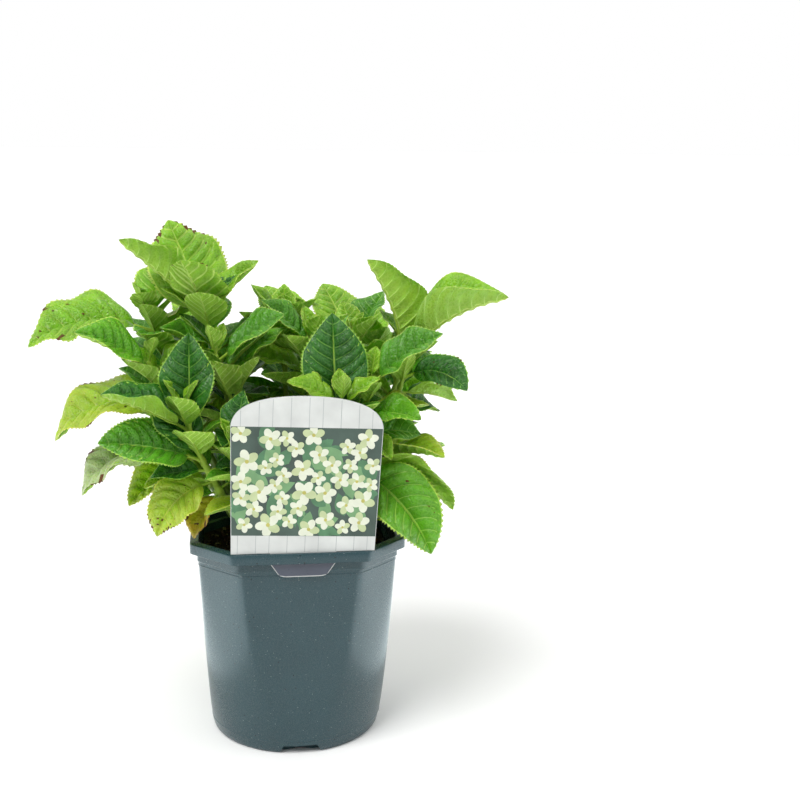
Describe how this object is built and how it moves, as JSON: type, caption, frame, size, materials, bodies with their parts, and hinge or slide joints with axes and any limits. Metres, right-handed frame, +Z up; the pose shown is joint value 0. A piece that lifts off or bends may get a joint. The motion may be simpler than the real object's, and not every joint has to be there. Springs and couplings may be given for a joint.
{
  "type": "potted hydrangea shrub",
  "caption": "Young mophead hydrangea shrub with broad toothed leaves on green stems, in a square-round slate plastic grower's pot with a plain picture card on the rim.",
  "frame": {"origin": "middle of the pot's flat underside", "axes": "+Z up, -Y towards the pot's front flat that carries the picture card, +X to the viewer's right"},
  "size_m": [0.426, 0.2695, 0.4659],
  "materials": {
    "pot": "satin",
    "soil": "matte",
    "card": "satin",
    "cane": "matte",
    "leaf": "satin"
  },
  "bodies": {
    "root": {"pot": "pot", "soil": "soil", "card": "card", "stem_left_top": "cane", "foliage_left_top": "leaf", "stem_far_left": "cane", "foliage_far_left": "leaf", "stem_left_mid": "cane", "foliage_left_mid": "leaf", "stem_left_low": "cane", "foliage_left_low": "leaf", "stem_young_front": "cane", "foliage_young_front": "leaf", "stem_centre_left": "cane", "foliage_centre_left": "leaf", "stem_centre_back": "cane", "foliage_centre_back": "leaf", "stem_centre": "cane", "foliage_centre": "leaf", "stem_centre_front": "cane", "foliage_centre_front": "leaf", "stem_right_mid": "cane", "foliage_right_mid": "leaf", "stem_right_top": "cane", "foliage_right_top": "leaf", "stem_right_low": "cane", "foliage_right_low": "leaf", "stem_right_front": "cane", "foliage_right_front": "leaf", "stem_back_left": "cane", "foliage_back_left": "leaf", "stem_back_centre": "cane", "foliage_back_centre": "leaf", "stem_back_right": "cane", "foliage_back_right": "leaf", "stem_low_left": "cane", "foliage_low_left": "leaf", "stem_low_right": "cane", "foliage_low_right": "leaf"}
  },
  "joints": []
}
